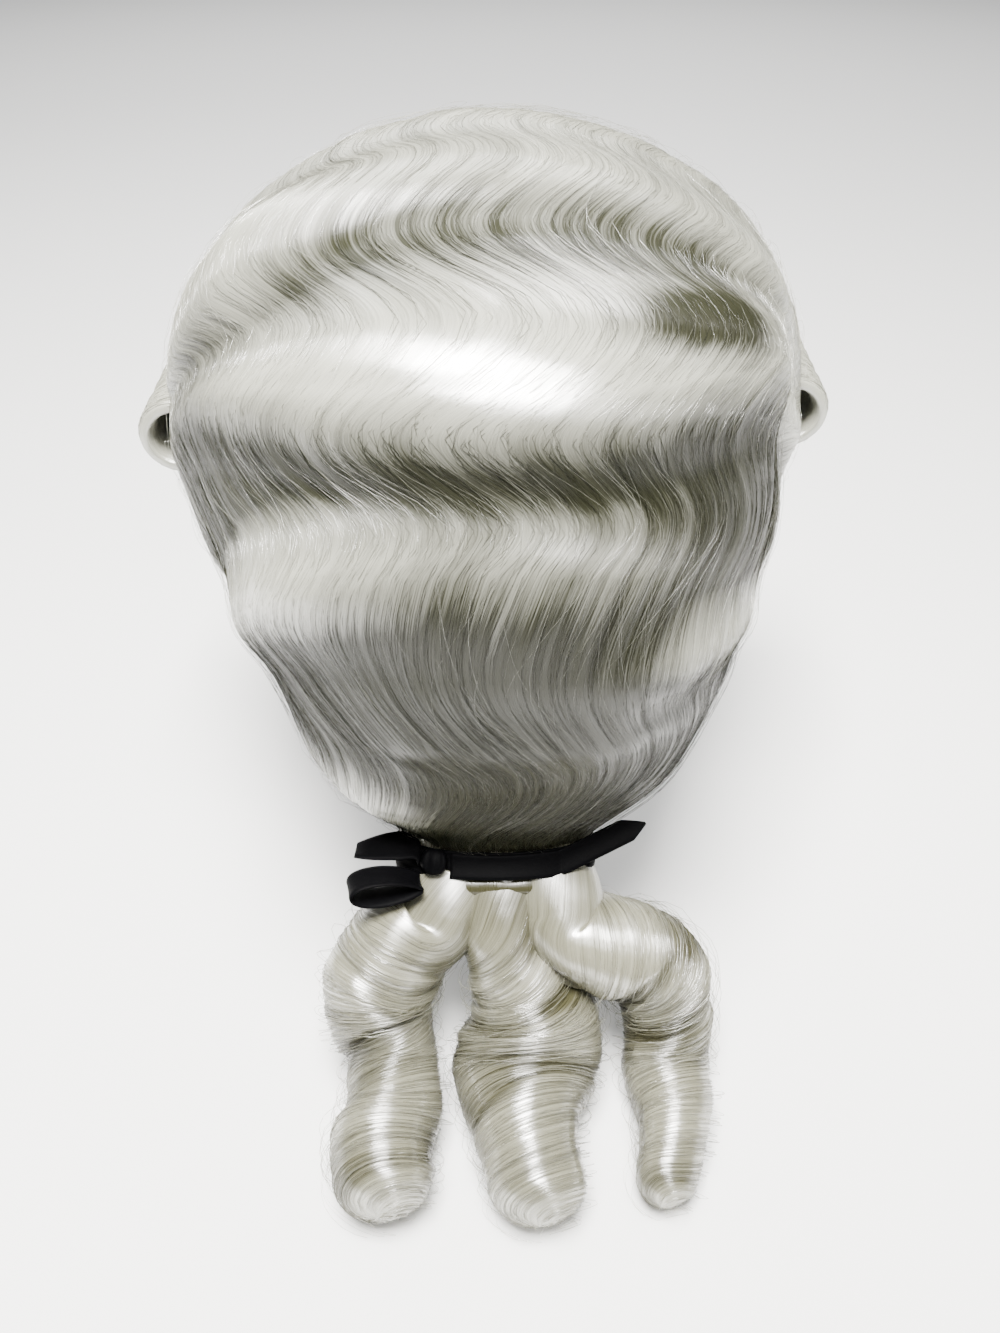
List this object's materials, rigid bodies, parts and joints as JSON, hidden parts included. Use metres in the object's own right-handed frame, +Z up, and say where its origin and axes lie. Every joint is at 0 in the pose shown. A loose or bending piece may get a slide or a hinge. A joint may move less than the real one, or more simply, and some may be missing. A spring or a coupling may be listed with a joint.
{
  "type": "powdered wig",
  "caption": "Powdered wig with finger-waved hair, a rolled curl over each ear and a ribbon-tied queue of ringlets, hollow to fit over a head.",
  "frame": {"origin": "where the crown of the head touches the inside of the wig", "axes": "+Z up the head, -Y towards the face and +Y towards the nape, +X towards the wearer's left"},
  "size_m": [0.2384, 0.2747, 0.2986],
  "materials": {
    "waved_hair": "silky white hair with a soft gloss",
    "curled_hair": "silky cream white hair with a soft gloss",
    "black_satin": "black satin ribbon, low sheen"
  },
  "bodies": {
    "root": {"crown_hair": "waved_hair", "side_roll_left": "waved_hair", "side_roll_right": "waved_hair", "queue_root": "curled_hair", "ringlet_left": "curled_hair", "ringlet_centre": "curled_hair", "ringlet_right": "curled_hair", "ribbon_band": "black_satin", "ribbon_knot": "black_satin", "bow_loop_left": "black_satin", "ribbon_tail_left": "black_satin", "ribbon_tail_right": "black_satin"}
  },
  "joints": []
}
